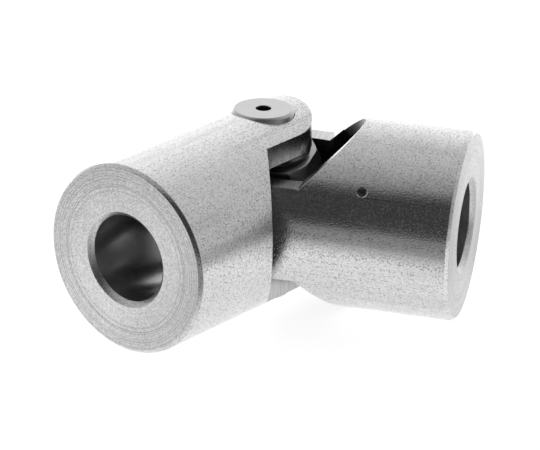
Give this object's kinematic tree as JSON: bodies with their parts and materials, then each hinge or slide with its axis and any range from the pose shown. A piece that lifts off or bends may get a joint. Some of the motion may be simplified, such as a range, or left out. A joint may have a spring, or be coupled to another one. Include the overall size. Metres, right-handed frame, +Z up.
{
  "type": "universal joint",
  "caption": "Single plain-bearing universal joint: two forked steel yokes with round shaft bores, hinged on a centre block by crossed pins.",
  "frame": {"origin": "below the middle of the joint's bounding box, on the surface that it lies on", "axes": "+X runs out along the output yoke's bore, which droops by 1.5 degrees; +Y lies along the short pins, towards the rear; +Z is up, along the long pin"},
  "size_m": [0.0444, 0.0374, 0.0228],
  "materials": {
    "yoke_steel": "turned and lightly stoned free-cutting steel, satin, with fine dark pits",
    "pin_steel": "ground, smooth satin",
    "block_steel": "milled and turned, oiled grey",
    "bush_steel": "hardened, dark oiled steel"
  },
  "bodies": {
    "input_side": {"input_yoke": "yoke_steel", "bush_input_upper": "bush_steel", "bush_input_lower": "bush_steel"},
    "cross": {"centre_block": "block_steel", "long_pin": "pin_steel", "short_pin_front": "pin_steel", "short_pin_rear": "pin_steel", "lock_rivet": "pin_steel", "thrust_washer_upper": "bush_steel", "thrust_washer_lower": "bush_steel", "thrust_washer_front": "bush_steel", "thrust_washer_rear": "bush_steel"},
    "output_side": {"output_yoke": "yoke_steel", "bush_output_front": "bush_steel", "bush_output_rear": "bush_steel"}
  },
  "joints": [
    {"name": "input_hinge", "type": "hinge", "parent": "input_side", "child": "cross", "pos_m": [-0.00209, 0.00752, 0.01161], "axis": [0, 0, 1], "range_deg": [-4, 133]},
    {"name": "output_hinge", "type": "hinge", "parent": "cross", "child": "output_side", "pos_m": [-0.00209, 0.00752, 0.01161], "axis": [0, 1, 0], "range_deg": [-13, 10]}
  ]
}
